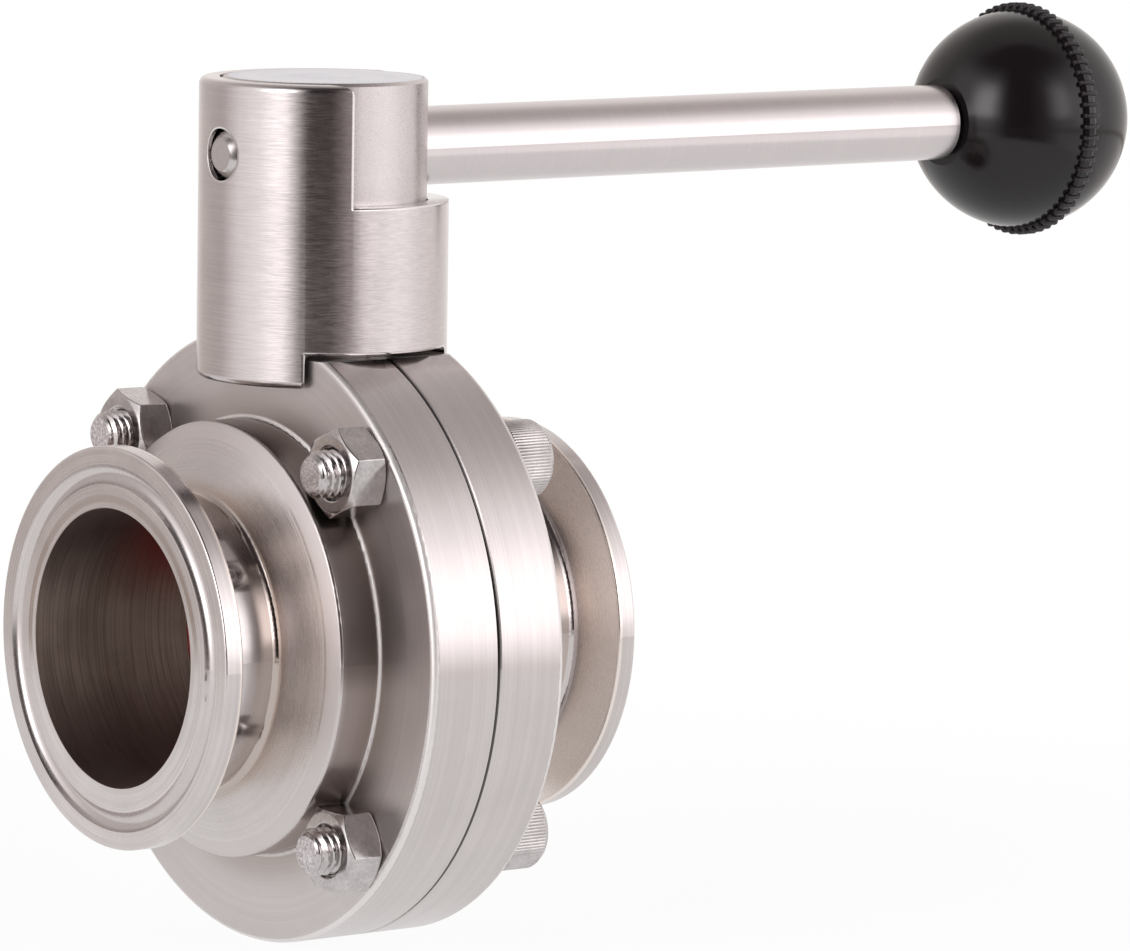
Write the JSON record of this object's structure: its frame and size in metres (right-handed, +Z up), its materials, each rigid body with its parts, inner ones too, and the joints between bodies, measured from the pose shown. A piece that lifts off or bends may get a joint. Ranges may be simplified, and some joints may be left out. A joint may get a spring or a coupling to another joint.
{
  "type": "sanitary butterfly valve",
  "caption": "Clamp ended sanitary butterfly valve with split round body, soft seat, disc and a pull handle with ball knob that locks open or closed.",
  "frame": {"origin": "centre of the inlet ferrule's face, on the flow axis", "axes": "+Y along the flow from inlet to outlet, +Z up along the stem, +X to the side that the handle closes towards"},
  "size_m": [0.0778, 0.1602, 0.1152],
  "materials": {
    "turned_steel": "fine turned stainless steel, polished flange rims",
    "satin_steel": "satin stainless steel, brushed round the housing",
    "bright_fastener": "bright stainless fasteners",
    "cover_steel": "smooth pale cover",
    "red_silicone": "matt red silicone",
    "black_phenolic": "glossy black phenolic",
    "white_polymer": "plain white bearing polymer",
    "brass": "turned brass",
    "spring_steel": "drawn spring wire"
  },
  "bodies": {
    "valve_body": {"body_half_inlet": "turned_steel", "body_half_outlet": "turned_steel", "seat_ring": "red_silicone", "upper_stem_bush": "white_polymer", "lower_stem_bush": "white_polymer", "handle_housing": "satin_steel", "body_screw_1": "bright_fastener", "body_screw_2": "bright_fastener", "body_screw_3": "bright_fastener", "body_screw_4": "bright_fastener", "body_nut_1": "bright_fastener", "body_nut_2": "bright_fastener", "body_nut_3": "bright_fastener", "body_nut_4": "bright_fastener"},
    "turning_disc": {"disc_and_stem": "turned_steel", "turning_head": "satin_steel", "fixing_screw": "bright_fastener", "head_cover": "cover_steel", "pull_spring": "spring_steel"},
    "pull_handle": {"handle_rod": "satin_steel", "lock_pin": "satin_steel", "ball_knob": "black_phenolic", "knob_insert": "brass"}
  },
  "joints": [
    {"name": "handle_turn", "type": "hinge", "parent": "valve_body", "child": "turning_disc", "pos_m": [0, 0.0313, 0], "axis": [0, 0, 1], "range_deg": [-90, 0]},
    {"name": "handle_pull", "type": "slide", "parent": "turning_disc", "child": "pull_handle", "axis": [0, 1, 0], "range_m": [0, 0.004], "stiffness_N_per_m": 1500, "springref_m": -0.006, "deforming": ["pull_spring"]}
  ]
}
